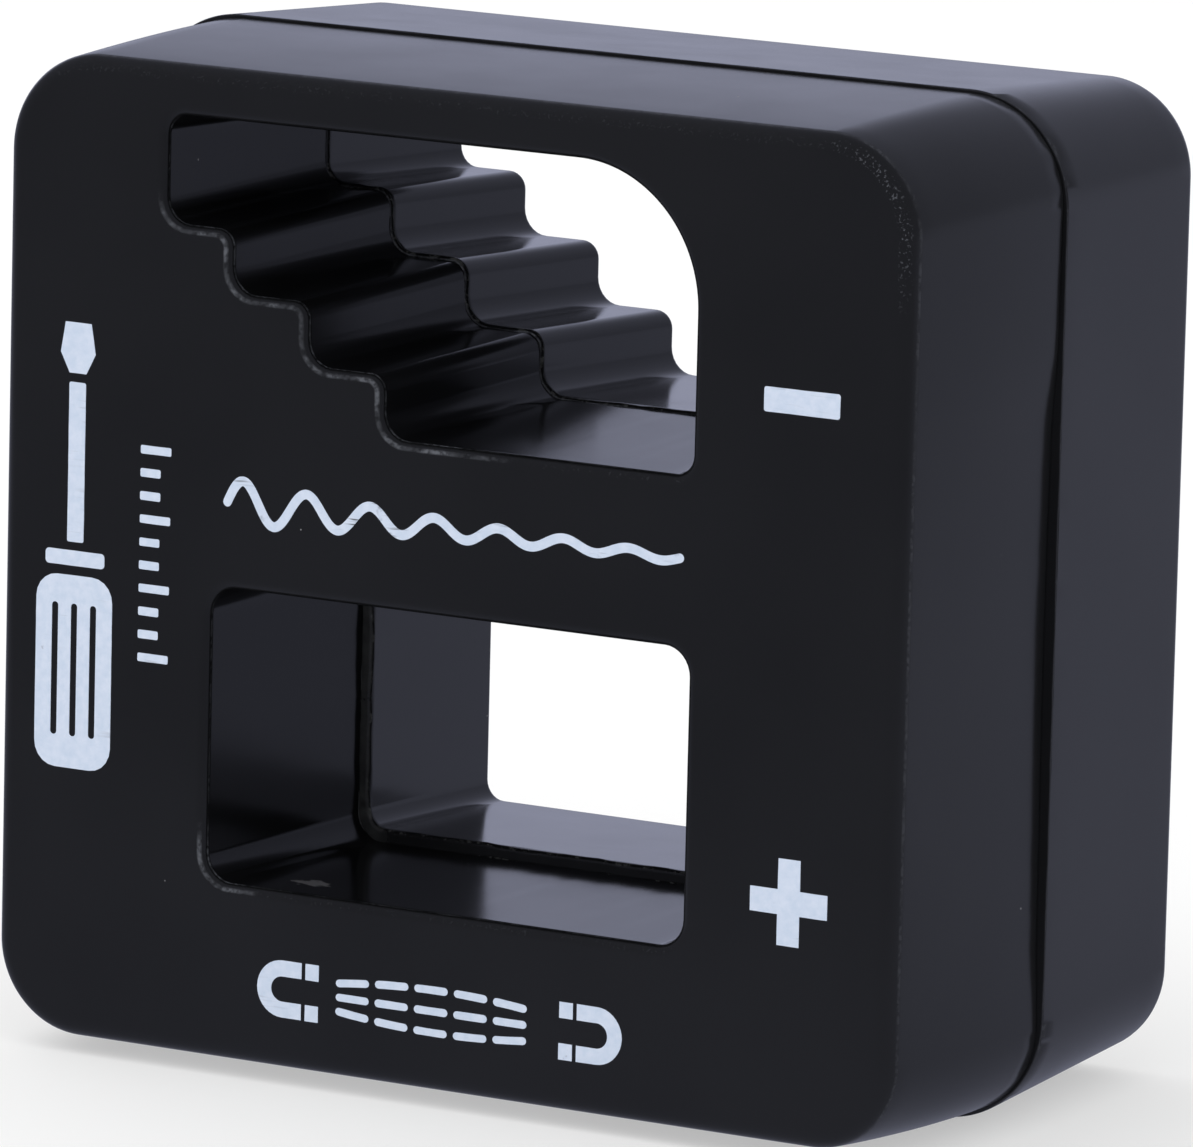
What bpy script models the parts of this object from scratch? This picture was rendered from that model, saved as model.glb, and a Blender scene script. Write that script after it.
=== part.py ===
"""Pocket block that magnetizes and demagnetizes screwdriver tips and tweezers.

Two black moulded shells meet at a parting plane. A plain rectangular window runs through the lower half, and
a window with a descending stair runs through the upper half. The columns beside the windows hold ferrite
magnets. The upper pair is reversed against the lower pair, and a steel keeper plate behind each column closes
the circuit.

Frame: +X to the right, +Y from the front face to the back face, +Z up. The origin is the bottom centre of the
block's bounding box. Lengths below are in metres.
"""

import math

import bmesh
import bpy

MM = 0.001

# Block: the rear shell's rim at the parting plane is the largest section.
RIM_WIDTH = 52.0 * MM
RIM_HEIGHT = 50.2 * MM
RIM_CORNER = 5.5 * MM
FRONT_DEPTH = 13.4 * MM
REAR_DEPTH = 15.0 * MM
FRONT_Y = -(FRONT_DEPTH + REAR_DEPTH) / 2
BACK_Y = (FRONT_DEPTH + REAR_DEPTH) / 2
PARTING_Y = FRONT_Y + FRONT_DEPTH
GAP = 0.3 * MM

# Front shell's outline at the parting plane. It is nearly flush with the rim along the top. Its right side
# leans in towards the bottom, so the rim stands out more there.
FRONT_LEFT = -25.85 * MM
FRONT_RIGHT_LOW = 25.5 * MM
FRONT_RIGHT_HIGH = 25.85 * MM
FRONT_BOTTOM = 0.25 * MM
FRONT_TOP = 50.05 * MM
FRONT_LOW_CORNER = 4.8 * MM
FRONT_RIGHT_CORNER = 5.3 * MM
FRONT_LEFT_CORNER = 5.7 * MM

# Front shell's outline at its face.
FACE_LEFT = -25.4 * MM
FACE_RIGHT = 25.0 * MM
FACE_BOTTOM = 0.9 * MM
FACE_TOP = 49.5 * MM
FACE_LOW_CORNER = 4.5 * MM
FACE_HIGH_CORNER = 4.9 * MM

REAR_DRAFT = math.radians(3.4)
FRONT_EDGE = 0.85 * MM
REAR_EDGE = 1.0 * MM
WINDOW_EDGE = 0.5 * MM

# Walls.
FACE_THICKNESS = 1.8 * MM
OUTER_WALL = 2.0 * MM
WINDOW_WALL = 1.4 * MM

# Lower window, at its mouth in the front face.
LOWER_LEFT = -13.4 * MM
LOWER_RIGHT = 13.45 * MM
LOWER_FLOOR = 9.65 * MM
LOWER_TOP = 24.3 * MM
LOWER_CORNER = 1.4 * MM

# Upper window, at its mouth in the front face: three treads fall from the left wall to the floor.
UPPER_LEFT = -16.3 * MM
UPPER_RIGHT = 13.35 * MM
UPPER_FLOOR = 32.45 * MM
UPPER_TOP = 47.15 * MM
UPPER_CORNER = 1.0 * MM
UPPER_ARC = 6.5 * MM
STAIR_START = -12.5 * MM
STAIR_RUN = 4.35 * MM
STAIR_RISE = 3.1 * MM
STAIR_COUNT = 3
STAIR_CORNER = 0.9 * MM

# At the parting plane a window's walls stand in from its front mouth by CLOSING, across and upwards. The rear
# shell's walls stand in further by STEP there, and they draw back by DRAW on the way to the back face.
LOWER_CLOSING = (0.4 * MM, 0.0 * MM)
LOWER_STEP = (0.85 * MM, 0.6 * MM)
LOWER_DRAW = (1.9 * MM, 1.15 * MM)
UPPER_CLOSING = (0.9 * MM, 0.45 * MM)
UPPER_STEP = (0.1 * MM, 0.15 * MM)
UPPER_DRAW = (1.1 * MM, 0.95 * MM)

# Magnets and keeper plates, stacked from the outer wall towards the windows. They are laid in the rear shell,
# against its back, so the block's weight lies behind the rim it stands on.
KEEPER_THICKNESS = 1.4 * MM
MAGNET_THICKNESS = 5.3 * MM
MAGNET_DEPTH = 22.0 * MM
MAGNET_BACK_Y = BACK_Y - FACE_THICKNESS - GAP
MAGNET_Y = (MAGNET_BACK_Y - MAGNET_DEPTH, MAGNET_BACK_Y)
STACK_OUTER_X = 22.7 * MM
LOWER_MAGNET_Z = (8.1 * MM, 26.1 * MM)
LEFT_UPPER_MAGNET_Z = (28.1 * MM, 39.7 * MM)
RIGHT_UPPER_MAGNET_Z = (28.1 * MM, 44.1 * MM)
MAGNET_CHAMFER = 0.4 * MM
KEEPER_CHAMFER = 0.2 * MM

# Ribs that hold the magnets, and the pins that line the shells up.
RIB_THICKNESS = 1.4 * MM
PIN_RADIUS = 1.25 * MM
PIN_REACH = 2.5 * MM
PIN_CHAMFER = 0.4 * MM
SOCKET_WALL = 0.9 * MM
SOCKET_DEPTH = 4.0 * MM
PIN_PLACES = (
    (-9.0 * MM, 5.4 * MM),
    (9.0 * MM, 5.4 * MM),
    (-20.2 * MM, 43.6 * MM),
    (8.0 * MM, 28.3 * MM),
)

# Facets.
ARC_STEP = 1.0 * MM
LEAST_ARC_STEPS = 4
EDGE_STEPS = 4
PIN_SIDES = 24
CUT_MARGIN = 1.0 * MM
SMOOTH_ANGLE = math.radians(30)


def clear_scene():
    for item in list(bpy.data.objects):
        bpy.data.objects.remove(item)


# ---------------------------------------------------------------- outlines in the XZ plane

def arc_steps(radius):
    return max(LEAST_ARC_STEPS, round(radius * math.pi / 2 / ARC_STEP))


def rounded(corners):
    """Points of an outline of axis-aligned edges, given counter-clockwise as (x, z, radius, arc steps)."""
    points = []
    for index, (x, z, radius, steps) in enumerate(corners):
        before = corners[index - 1]
        after = corners[(index + 1) % len(corners)]
        towards_before = unit(before[0] - x, before[1] - z)
        towards_after = unit(after[0] - x, after[1] - z)
        for step in range(steps + 1):
            turn = math.pi / 2 * step / steps
            along = 1 - math.sin(turn)
            across = 1 - math.cos(turn)
            points.append((
                x + radius * (along * towards_before[0] + across * towards_after[0]),
                z + radius * (along * towards_before[1] + across * towards_after[1]),
            ))
    return points


def unit(x, z):
    length = math.hypot(x, z)
    return x / length, z / length


def shrunk(corners, across, upwards, tighter=0.0):
    """The outline with its upright edges moved in by across and its level edges by upwards.

    tighter takes that much off the radius of each outward corner and adds it to each inward one.
    """
    moved = []
    for index, (x, z, radius, steps) in enumerate(corners):
        before = corners[index - 1]
        after = corners[(index + 1) % len(corners)]
        arriving = unit(x - before[0], z - before[1])
        leaving = unit(after[0] - x, after[1] - z)
        inward_x = -arriving[1] - leaving[1]
        inward_z = arriving[0] + leaving[0]
        outward_corner = arriving[0] * leaving[1] - arriving[1] * leaving[0] > 0
        radius += -tighter if outward_corner else tighter
        moved.append((x + across * inward_x, z + upwards * inward_z, radius, steps))
    return moved


def rectangle(left, right, bottom, top, radius):
    steps = arc_steps(radius)
    return [
        (left, bottom, radius, steps),
        (right, bottom, radius, steps),
        (right, top, radius, steps),
        (left, top, radius, steps),
    ]


def blend(first, second, share):
    """The outline a share of the way from first to second, with first's arc steps."""
    return [
        tuple(start + (end - start) * share for start, end in zip(corner[:3], other[:3])) + (corner[3],)
        for corner, other in zip(first, second)
    ]


def front_rim():
    """The front shell's outline at the parting plane."""
    steps = arc_steps(FRONT_LEFT_CORNER)
    return [
        (FRONT_LEFT, FRONT_BOTTOM, FRONT_LOW_CORNER, steps),
        (FRONT_RIGHT_LOW, FRONT_BOTTOM, FRONT_LOW_CORNER, steps),
        (FRONT_RIGHT_HIGH, FRONT_TOP, FRONT_RIGHT_CORNER, steps),
        (FRONT_LEFT, FRONT_TOP, FRONT_LEFT_CORNER, steps),
    ]


def front_face():
    steps = arc_steps(FRONT_LEFT_CORNER)
    return [
        (FACE_LEFT, FACE_BOTTOM, FACE_LOW_CORNER, steps),
        (FACE_RIGHT, FACE_BOTTOM, FACE_LOW_CORNER, steps),
        (FACE_RIGHT, FACE_TOP, FACE_HIGH_CORNER, steps),
        (FACE_LEFT, FACE_TOP, FACE_HIGH_CORNER, steps),
    ]


def rear_rim():
    return rectangle(-RIM_WIDTH / 2, RIM_WIDTH / 2, 0, RIM_HEIGHT, RIM_CORNER)


def rear_face():
    taper = REAR_DEPTH * math.tan(REAR_DRAFT)
    return shrunk(rear_rim(), taper, taper, taper)


def lower_window():
    return rectangle(LOWER_LEFT, LOWER_RIGHT, LOWER_FLOOR, LOWER_TOP, LOWER_CORNER)


def upper_window():
    """Floor, right wall, large corner arc, top, left wall, then down the stair back to the floor."""
    steps = arc_steps(UPPER_CORNER)
    corners = [
        (UPPER_RIGHT, UPPER_FLOOR, UPPER_CORNER, steps),
        (UPPER_RIGHT, UPPER_TOP, UPPER_ARC, arc_steps(UPPER_ARC)),
        (UPPER_LEFT, UPPER_TOP, UPPER_CORNER, steps),
    ]
    tread_z = UPPER_FLOOR + STAIR_COUNT * STAIR_RISE
    tread_left = UPPER_LEFT
    for stair in range(STAIR_COUNT):
        riser_x = STAIR_START + stair * STAIR_RUN
        corners.append((tread_left, tread_z, STAIR_CORNER, steps))
        corners.append((riser_x, tread_z, STAIR_CORNER, steps))
        tread_left = riser_x
        tread_z -= STAIR_RISE
    corners.append((tread_left, UPPER_FLOOR, STAIR_CORNER, steps))
    return corners


# ---------------------------------------------------------------- solids

def new_object(name, mesh_builder):
    mesh = bpy.data.meshes.new(name)
    mesh_builder.to_mesh(mesh)
    mesh_builder.free()
    item = bpy.data.objects.new(name, mesh)
    bpy.context.scene.collection.objects.link(item)
    return item


def loft(name, sections):
    """A closed solid through sections of (y, points), which all have the same number of points."""
    builder = bmesh.new()
    rings = [[builder.verts.new((x, y, z)) for x, z in points] for y, points in sections]
    for ring, following in zip(rings, rings[1:]):
        for index in range(len(ring)):
            after = (index + 1) % len(ring)
            builder.faces.new((ring[index], ring[after], following[after], following[index]))
    builder.faces.new(rings[0])
    builder.faces.new(rings[-1])
    bmesh.ops.recalc_face_normals(builder, faces=builder.faces)
    return new_object(name, builder)


def block(name, x_range, y_range, z_range, chamfer=0.0):
    """A box between two limits along each axis, with all its edges chamfered where chamfer is given."""
    ranges = (x_range, y_range, z_range)
    builder = bmesh.new()
    bmesh.ops.create_cube(builder, size=1.0)
    bmesh.ops.scale(builder, vec=[high - low for low, high in ranges], verts=builder.verts)
    bmesh.ops.translate(builder, vec=[(low + high) / 2 for low, high in ranges], verts=builder.verts)
    if chamfer:
        bmesh.ops.bevel(builder, geom=builder.edges[:], offset=chamfer, segments=1, affect="EDGES")
    return new_object(name, builder)


def post(name, place, y_start, y_end, radius, chamfer=0.0):
    """A round post along Y. Its y_end is chamfered where chamfer is given."""
    def circle(size):
        return [
            (
                place[0] + size * math.cos(2 * math.pi * side / PIN_SIDES),
                place[1] + size * math.sin(2 * math.pi * side / PIN_SIDES),
            )
            for side in range(PIN_SIDES)
        ]

    sections = [(y_start, circle(radius))]
    if chamfer:
        shoulder = y_end - math.copysign(chamfer, y_end - y_start)
        sections.append((shoulder, circle(radius)))
        sections.append((y_end, circle(radius - chamfer)))
    else:
        sections.append((y_end, circle(radius)))
    return loft(name, sections)


def combine(target, operation, other):
    """Adds an exact Boolean to target and turns other into a wire guide."""
    other.hide_render = True
    other.display_type = "WIRE"
    modifier = target.modifiers.new(f"{operation.lower()}_{other.name}", "BOOLEAN")
    modifier.operation = operation
    modifier.solver = "EXACT"
    modifier.object = other


# ---------------------------------------------------------------- one shell, front or rear

class Shell:
    """The measures that differ between the two shells.

    inward is the Y direction from the face to the parting plane, and heights are measured from the face.
    """

    def __init__(self, name, face_y, inward, face, rim, edge):
        self.name = name
        self.face_y = face_y
        self.inward = inward
        self.face = face
        self.rim = rim
        self.edge = edge
        self.depth = abs(PARTING_Y - face_y)
        self.rim_height = self.depth - GAP / 2

    def at(self, height):
        """Y at a height above the face."""
        return self.face_y + self.inward * height

    def outline(self, height, inset):
        """The outside's outline at a height above the face, moved in by inset."""
        return rounded(shrunk(blend(self.face, self.rim, height / self.depth), inset, inset, inset))


class Window:
    """One opening through a shell.

    corners belong to its mouth in the front face. at_face and at_parting are how far its walls stand in from
    them, across and upwards, at the shell's own face and at the parting plane.
    """

    def __init__(self, name, corners, at_face, at_parting):
        self.name = name
        self.corners = corners
        self.at_face = at_face
        self.at_parting = at_parting

    def inset(self, share):
        """The walls' insets across and upwards; share runs from 0 at the face to 1 at the parting plane."""
        return [start + (end - start) * share for start, end in zip(self.at_face, self.at_parting)]


def outside(shell):
    """The shell's outer form: a rounded face edge, then drafted walls to the parting plane."""
    sections = []
    for step in range(EDGE_STEPS + 1):
        turn = math.pi / 2 * step / EDGE_STEPS
        height = shell.edge * (1 - math.cos(turn))
        sections.append((shell.at(height), shell.outline(height, shell.edge * (1 - math.sin(turn)))))
    sections.append((shell.at(shell.rim_height), shell.outline(shell.depth, 0.0)))
    return loft(shell.name, sections)


def window_cutter(shell, window):
    """The opening through one shell, with a rounded mouth, drafted to the parting plane."""
    edge_heights = [
        WINDOW_EDGE * (1 - math.cos(math.pi / 2 * step / EDGE_STEPS)) for step in range(EDGE_STEPS + 1)
    ]
    sections = []
    for height in [-CUT_MARGIN] + edge_heights + [shell.depth + CUT_MARGIN]:
        into_edge = max(0.0, min(height, WINDOW_EDGE))
        flare = WINDOW_EDGE - math.sqrt(WINDOW_EDGE**2 - (WINDOW_EDGE - into_edge) ** 2)
        drafted = shrunk(window.corners, *window.inset(max(height, 0.0) / shell.depth))
        sections.append((shell.at(height), rounded(shrunk(drafted, -flare, -flare, -flare))))
    return loft(f"{shell.name}_{window.name}_cutter", sections)


def window_tube(shell, window):
    """The solid that a window's walls are left from when the cavity is cut."""
    sections = []
    for height in (0.0, shell.depth + 2 * CUT_MARGIN):
        across, upwards = window.inset(height / shell.depth)
        grown = shrunk(window.corners, across - WINDOW_WALL, upwards - WINDOW_WALL, -STAIR_CORNER / 2)
        sections.append((shell.at(height), rounded(grown)))
    return loft(f"{shell.name}_{window.name}_tube", sections)


def cavity(shell):
    """The space inside the shell, open at the parting plane."""
    heights = (FACE_THICKNESS, shell.depth + CUT_MARGIN)
    sections = [(shell.at(height), shell.outline(height, OUTER_WALL)) for height in heights]
    return loft(f"{shell.name}_cavity", sections)


def rib(name, shell, x_range, z_range):
    """A rib from the face plate almost to the parting plane."""
    low = FACE_THICKNESS / 2
    high = shell.depth - GAP
    return block(name, x_range, sorted((shell.at(low), shell.at(high))), z_range)


def rib_places():
    """Where ribs stand: under the magnets, between them, and over the right upper one."""
    stack_inner = STACK_OUTER_X - KEEPER_THICKNESS - GAP
    wall_side = RIM_WIDTH / 2 - OUTER_WALL / 2
    under = (LOWER_MAGNET_Z[0] - GAP - RIB_THICKNESS, LOWER_MAGNET_Z[0] - GAP)
    between = (LOWER_MAGNET_Z[1] + GAP, LEFT_UPPER_MAGNET_Z[0] - GAP)
    over = (RIGHT_UPPER_MAGNET_Z[1] + GAP, RIGHT_UPPER_MAGNET_Z[1] + GAP + RIB_THICKNESS)
    magnet_inner = stack_inner - MAGNET_THICKNESS
    return {
        "under_left": ((-wall_side, -magnet_inner), under),
        "under_right": ((magnet_inner, wall_side), under),
        "between_left": ((-stack_inner + GAP, -magnet_inner + WINDOW_WALL), between),
        "between_right": ((magnet_inner - WINDOW_WALL, stack_inner - GAP), between),
        "over_right": ((UPPER_RIGHT - UPPER_ARC / 2, wall_side), over),
    }


def build_shell(shell, windows):
    body = outside(shell)
    hollow = cavity(shell)
    for window in windows:
        combine(hollow, "DIFFERENCE", window_tube(shell, window))
    for name, (x_range, z_range) in rib_places().items():
        combine(hollow, "DIFFERENCE", rib(f"{shell.name}_rib_{name}", shell, x_range, z_range))
    combine(body, "DIFFERENCE", hollow)
    for window in windows:
        combine(body, "DIFFERENCE", window_cutter(shell, window))
    return body


def add_pins(body, shell):
    for index, place in enumerate(PIN_PLACES):
        start = shell.at(FACE_THICKNESS / 2)
        end = PARTING_Y + shell.inward * PIN_REACH
        combine(body, "UNION", post(f"pin_{index}", place, start, end, PIN_RADIUS, PIN_CHAMFER))


def add_sockets(body, shell):
    for index, place in enumerate(PIN_PLACES):
        top = shell.at(shell.depth - GAP)
        outer = PIN_RADIUS + GAP + SOCKET_WALL
        combine(body, "UNION", post(f"socket_{index}", place, shell.at(FACE_THICKNESS / 2), top, outer))
        bore_end = shell.at(shell.depth - SOCKET_DEPTH)
        bore_start = shell.at(shell.depth + CUT_MARGIN)
        combine(body, "DIFFERENCE", post(f"bore_{index}", place, bore_end, bore_start, PIN_RADIUS + GAP))


def front_shell():
    shell = Shell("front_shell", FRONT_Y, 1, front_face(), front_rim(), FRONT_EDGE)
    at_face = (0.0, 0.0)
    body = build_shell(shell, (
        Window("lower", lower_window(), at_face, LOWER_CLOSING),
        Window("upper", upper_window(), at_face, UPPER_CLOSING),
    ))
    add_pins(body, shell)
    return body


def rear_window(name, corners, front_closing, rear_step, rear_draw):
    at_parting = [closing + step for closing, step in zip(front_closing, rear_step)]
    at_face = [inset - draw for inset, draw in zip(at_parting, rear_draw)]
    return Window(name, corners, at_face, at_parting)


def rear_shell():
    shell = Shell("rear_shell", BACK_Y, -1, rear_face(), rear_rim(), REAR_EDGE)
    body = build_shell(shell, (
        rear_window("lower", lower_window(), LOWER_CLOSING, LOWER_STEP, LOWER_DRAW),
        rear_window("upper", upper_window(), UPPER_CLOSING, UPPER_STEP, UPPER_DRAW),
    ))
    add_sockets(body, shell)
    return body


# ---------------------------------------------------------------- magnets and keepers

def magnet(name, side, z_range):
    """A ferrite block against the keeper; side is -1 on the left and 1 on the right."""
    outer = STACK_OUTER_X - KEEPER_THICKNESS - GAP
    x_range = sorted((side * outer, side * (outer - MAGNET_THICKNESS)))
    return block(name, x_range, MAGNET_Y, z_range, MAGNET_CHAMFER)


def keeper(name, side, top):
    """A flat steel plate behind both magnets of a column."""
    x_range = sorted((side * STACK_OUTER_X, side * (STACK_OUTER_X - KEEPER_THICKNESS)))
    return block(name, x_range, MAGNET_Y, (LOWER_MAGNET_Z[0], top), KEEPER_CHAMFER)


# ---------------------------------------------------------------- materials

def material(name, colour, roughness, metallic):
    made = bpy.data.materials.new(name)
    made.use_nodes = True
    shader = made.node_tree.nodes["Principled BSDF"]
    shader.inputs["Base Color"].default_value = (*colour, 1.0)
    shader.inputs["Roughness"].default_value = roughness
    shader.inputs["Metallic"].default_value = metallic
    made.diffuse_color = (*colour, 1.0)
    return made


def finish(item, made):
    """Gives the piece its material and smooth shading with sharp corners kept."""
    item.data.materials.append(made)
    item.data.shade_smooth()
    item.data.set_sharp_from_angle(angle=SMOOTH_ANGLE)


def main():
    clear_scene()
    finish(front_shell(), material("front_plastic", (0.012, 0.012, 0.014), 0.42, 0.0))
    finish(rear_shell(), material("rear_plastic", (0.014, 0.014, 0.016), 0.38, 0.0))
    ferrite = (0.05, 0.05, 0.055)
    steel = (0.45, 0.45, 0.46)
    for side_name, side, upper_z in (
        ("left", -1, LEFT_UPPER_MAGNET_Z),
        ("right", 1, RIGHT_UPPER_MAGNET_Z),
    ):
        lower = magnet(f"magnet_{side_name}_lower", side, LOWER_MAGNET_Z)
        upper = magnet(f"magnet_{side_name}_upper", side, upper_z)
        plate = keeper(f"keeper_{side_name}", side, upper_z[1])
        finish(lower, material(f"ferrite_{side_name}_lower", ferrite, 0.6, 0.0))
        finish(upper, material(f"ferrite_{side_name}_upper", ferrite, 0.6, 0.0))
        finish(plate, material(f"keeper_{side_name}_steel", steel, 0.4, 0.9))


main()
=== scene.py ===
"""Looks for the magnetizing and demagnetizing block: shells, printed marks, materials and studio.

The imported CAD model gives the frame. Everything is in metres, +Z up, with the printed front
facing -Y.
"""

import math

import bmesh
import bpy
from mathutils import Matrix, Vector, noise


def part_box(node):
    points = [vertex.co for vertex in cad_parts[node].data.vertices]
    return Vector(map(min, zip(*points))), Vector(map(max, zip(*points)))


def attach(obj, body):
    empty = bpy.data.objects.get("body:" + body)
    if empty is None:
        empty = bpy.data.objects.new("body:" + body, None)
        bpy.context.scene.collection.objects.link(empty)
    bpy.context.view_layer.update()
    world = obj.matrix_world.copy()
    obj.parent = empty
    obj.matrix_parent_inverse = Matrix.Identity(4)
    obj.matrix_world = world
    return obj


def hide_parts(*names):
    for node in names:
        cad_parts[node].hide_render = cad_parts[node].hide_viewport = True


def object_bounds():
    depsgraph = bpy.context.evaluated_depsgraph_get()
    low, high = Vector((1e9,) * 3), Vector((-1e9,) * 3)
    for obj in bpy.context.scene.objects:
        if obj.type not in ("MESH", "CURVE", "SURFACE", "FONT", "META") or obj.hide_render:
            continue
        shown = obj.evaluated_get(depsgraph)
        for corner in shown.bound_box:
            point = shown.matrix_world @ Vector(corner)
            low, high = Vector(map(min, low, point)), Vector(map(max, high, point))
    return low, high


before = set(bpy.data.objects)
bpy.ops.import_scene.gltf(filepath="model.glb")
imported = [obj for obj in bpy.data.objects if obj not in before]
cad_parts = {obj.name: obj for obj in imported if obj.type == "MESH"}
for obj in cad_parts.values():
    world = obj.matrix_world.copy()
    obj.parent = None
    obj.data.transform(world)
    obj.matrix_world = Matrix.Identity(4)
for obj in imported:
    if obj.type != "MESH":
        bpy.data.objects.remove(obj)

CAD_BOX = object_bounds()
BODY = "root"
MM = 0.001

# ---------------------------------------------------------------- places taken from the frame

FRONT_LOW, FRONT_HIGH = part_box("front_shell")
REAR_LOW, REAR_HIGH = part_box("rear_shell")
CAD_GAP = 0.3 * MM
PARTING_Y = REAR_LOW[1] - CAD_GAP / 2
INK_THICKNESS = 0.02 * MM
FACE_Y = FRONT_LOW[1] + INK_THICKNESS
BACK_Y = REAR_HIGH[1]

# ---------------------------------------------------------------- sizes of the shells

RIM_CORNER = 5.5 * MM
FRONT_RIGHT_LOW = 25.5 * MM
FRONT_LOW_CORNER = 4.8 * MM
FRONT_RIGHT_CORNER = 5.15 * MM
FRONT_LEFT_CORNER = 5.7 * MM
FACE_LEFT = -25.4 * MM
FACE_RIGHT = 25.0 * MM
FACE_BOTTOM = 0.9 * MM
FACE_TOP = 49.5 * MM
FACE_LOW_CORNER = 4.5 * MM
FACE_HIGH_CORNER = 4.9 * MM
REAR_DRAFT = math.radians(3.4)
FRONT_CROWN = 1.8
REAR_CROWN = 1.0

SEAM = 0.03 * MM
FRONT_EDGE = 0.85 * MM
REAR_EDGE = 1.0 * MM
WINDOW_EDGE = 0.5 * MM
SEAM_EDGE = 0.05 * MM
FRONT_LIP = 0.05 * MM
REAR_LIP = 0.25 * MM
LIP_REACHES = 1.6
FACE_THICKNESS = 1.8 * MM
OUTER_WALL = 2.0 * MM
WINDOW_WALL = 1.4 * MM

LOWER_LEFT = -13.4 * MM
LOWER_RIGHT = 13.4 * MM
LOWER_FLOOR = 9.65 * MM
LOWER_TOP = 24.18 * MM
LOWER_CORNER = 1.4 * MM
LOWER_REAR_CORNER = 1.0 * MM

UPPER_LEFT = -16.3 * MM
UPPER_RIGHT = 13.35 * MM
UPPER_FLOOR = 32.45 * MM
UPPER_TOP = 47.07 * MM
UPPER_CORNER = 1.0 * MM
UPPER_ARC = 6.75 * MM
STAIR_START = -12.5 * MM
STAIR_RUN = 4.35 * MM
STAIR_RISE = 3.1 * MM
STAIR_COUNT = 3
STAIR_NOSE = 0.9 * MM
STAIR_HOLLOW = 1.3 * MM

LOWER_CLOSING = (0.7 * MM, 0.0 * MM)
LOWER_STEP = (0.55 * MM, 0.65 * MM)
LOWER_DRAW = (1.9 * MM, 1.15 * MM)
UPPER_CLOSING = (0.9 * MM, 0.45 * MM)
UPPER_STEP = (0.1 * MM, 0.15 * MM)
UPPER_DRAW = (1.1 * MM, 0.95 * MM)

PIN_RADIUS = 1.25 * MM
PIN_REACH = 2.5 * MM
PIN_CLEARANCE = 0.3 * MM
SOCKET_WALL = 0.9 * MM
SOCKET_DEPTH = 4.0 * MM
PIN_PLACES = (
    (-9.0 * MM, 5.4 * MM),
    (9.0 * MM, 5.4 * MM),
    (-20.2 * MM, 43.6 * MM),
    (8.0 * MM, 28.3 * MM),
)
RIB_CLEARANCE = 0.3 * MM
RIB_THICKNESS = 1.4 * MM

SINK_DEPTH = 0.21 * MM
SINK_START_X = 22.0 * MM
SINK_FULL_X = 24.5 * MM
SINK_TOP = 38.5 * MM
SINK_RISE = 4.5 * MM
SINK_BOTTOM = 6.0 * MM
SINK_FADE = 20.0 * MM
SWELL_DEPTH = 0.15 * MM
SWELL_TOP = 10.0 * MM
SWELL_FULL = 4.5 * MM

OUTER_WOBBLE = 0.05 * MM
INNER_WOBBLE = 0.14 * MM

# ---------------------------------------------------------------- fineness of the meshes

ARC_STEP = 0.28 * MM
LEAST_ARC_STEPS = 7
LINE_STEP = 0.7 * MM
WALL_STEPS = 10
EDGE_STEPS = 8
SEAM_STEPS = 4
POST_SIDES = 48
CUT_MARGIN = 1.0 * MM
SMOOTH_ANGLE = math.radians(38)


# ================================================================ outlines in the XZ plane

def unit(x, z):
    length = math.hypot(x, z)
    return x / length, z / length


def corner(x, z, radius):
    """A corner of an axis-aligned outline, with the number of steps along its arc."""
    return (x, z, radius, max(LEAST_ARC_STEPS, round(radius * math.pi / 2 / ARC_STEP)))


def rounded(corners, line_steps):
    """Points of the outline, with line_steps[i] steps along the straight after corner i."""
    points = []
    for index, (x, z, radius, steps) in enumerate(corners):
        before = corners[index - 1]
        after = corners[(index + 1) % len(corners)]
        towards_before = unit(before[0] - x, before[1] - z)
        towards_after = unit(after[0] - x, after[1] - z)
        for step in range(steps + 1):
            turn = math.pi / 2 * step / steps
            along = 1 - math.sin(turn)
            across = 1 - math.cos(turn)
            points.append((
                x + radius * (along * towards_before[0] + across * towards_after[0]),
                z + radius * (along * towards_before[1] + across * towards_after[1]),
            ))
        start = points[-1]
        end = (after[0] - after[2] * towards_after[0], after[1] - after[2] * towards_after[1])
        for step in range(1, line_steps[index]):
            share = step / line_steps[index]
            points.append((
                start[0] + (end[0] - start[0]) * share,
                start[1] + (end[1] - start[1]) * share,
            ))
    return points


def straight_steps(corners):
    """How many steps each straight of the outline is cut into."""
    steps = []
    for index, (x, z, radius, _) in enumerate(corners):
        after = corners[(index + 1) % len(corners)]
        length = math.hypot(after[0] - x, after[1] - z) - radius - after[2]
        steps.append(max(1, round(length / LINE_STEP)))
    return steps


def shrunk(corners, across, upwards, tighter=0.0):
    """The outline with upright edges moved in by across and level ones by upwards."""
    moved = []
    for index, (x, z, radius, steps) in enumerate(corners):
        before = corners[index - 1]
        after = corners[(index + 1) % len(corners)]
        arriving = unit(x - before[0], z - before[1])
        leaving = unit(after[0] - x, after[1] - z)
        outward_corner = arriving[0] * leaving[1] - arriving[1] * leaving[0] > 0
        radius += -tighter if outward_corner else tighter
        moved.append((
            x + across * (-arriving[1] - leaving[1]),
            z + upwards * (arriving[0] + leaving[0]),
            radius,
            steps,
        ))
    return moved


def rectangle(left, right, bottom, top, radius):
    return [
        corner(left, bottom, radius),
        corner(right, bottom, radius),
        corner(right, top, radius),
        corner(left, top, radius),
    ]


def blend(first, second, share):
    """The outline a share of the way from first to second, with first's steps."""
    return [
        tuple(start + (end - start) * share for start, end in zip(here[:3], there[:3])) + (here[3],)
        for here, there in zip(first, second)
    ]


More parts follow.
